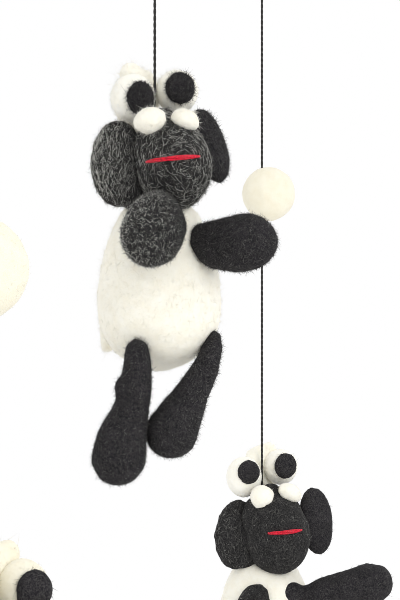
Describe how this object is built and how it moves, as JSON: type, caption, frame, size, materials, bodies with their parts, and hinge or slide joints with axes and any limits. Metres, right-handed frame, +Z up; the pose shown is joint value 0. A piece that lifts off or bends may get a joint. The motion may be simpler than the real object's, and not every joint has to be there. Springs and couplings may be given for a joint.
{
  "type": "hanging mobile sculpture",
  "caption": "Hanging mobile of needle-felted wool sheep with dark heads and limbs, each on a twisted cord with a felt ball, under a wooden bar with a hanging ring.",
  "frame": {"origin": "inside top of the hanging ring, where a hook carries it", "axes": "+Z up along the hang, +X along the bar"},
  "size_m": [0.37, 0.0801, 0.5547],
  "materials": {
    "cream_felt": "matt needle-felted wool with loose fibres",
    "charcoal_felt": "matt needle-felted wool with grey fibres",
    "red_thread": "satin embroidery thread",
    "black_cord": "matt two-ply twisted cord",
    "beech": "sanded, oiled"
  },
  "bodies": {
    "root": {"hanging_ring": "beech", "bridle_cord": "black_cord", "bar": "beech", "left_cord": "black_cord", "left_ball": "cream_felt", "middle_cord": "black_cord", "middle_ball": "cream_felt", "right_cord": "black_cord", "right_ball": "cream_felt", "left_sheep_head": "charcoal_felt", "left_sheep_left_ear": "charcoal_felt", "left_sheep_right_ear": "charcoal_felt", "left_sheep_left_pupil": "charcoal_felt", "left_sheep_right_pupil": "charcoal_felt", "left_sheep_left_arm": "charcoal_felt", "left_sheep_right_arm": "charcoal_felt", "left_sheep_left_leg": "charcoal_felt", "left_sheep_right_leg": "charcoal_felt", "left_sheep_body": "cream_felt", "left_sheep_topknot": "cream_felt", "left_sheep_tail": "cream_felt", "left_sheep_left_eye": "cream_felt", "left_sheep_right_eye": "cream_felt", "left_sheep_left_cheek": "cream_felt", "left_sheep_right_cheek": "cream_felt", "left_sheep_mouth": "red_thread", "middle_sheep_head": "charcoal_felt", "middle_sheep_left_ear": "charcoal_felt", "middle_sheep_right_ear": "charcoal_felt", "middle_sheep_left_pupil": "charcoal_felt", "middle_sheep_right_pupil": "charcoal_felt", "middle_sheep_left_arm": "charcoal_felt", "middle_sheep_right_arm": "charcoal_felt", "middle_sheep_left_leg": "charcoal_felt", "middle_sheep_right_leg": "charcoal_felt", "middle_sheep_body": "cream_felt", "middle_sheep_topknot": "cream_felt", "middle_sheep_tail": "cream_felt", "middle_sheep_left_eye": "cream_felt", "middle_sheep_right_eye": "cream_felt", "middle_sheep_left_cheek": "cream_felt", "middle_sheep_right_cheek": "cream_felt", "middle_sheep_mouth": "red_thread", "right_sheep_head": "charcoal_felt", "right_sheep_left_ear": "charcoal_felt", "right_sheep_right_ear": "charcoal_felt", "right_sheep_left_pupil": "charcoal_felt", "right_sheep_right_pupil": "charcoal_felt", "right_sheep_left_arm": "charcoal_felt", "right_sheep_right_arm": "charcoal_felt", "right_sheep_left_leg": "charcoal_felt", "right_sheep_right_leg": "charcoal_felt", "right_sheep_body": "cream_felt", "right_sheep_topknot": "cream_felt", "right_sheep_tail": "cream_felt", "right_sheep_left_eye": "cream_felt", "right_sheep_right_eye": "cream_felt", "right_sheep_left_cheek": "cream_felt", "right_sheep_right_cheek": "cream_felt", "right_sheep_mouth": "red_thread"}
  },
  "joints": []
}
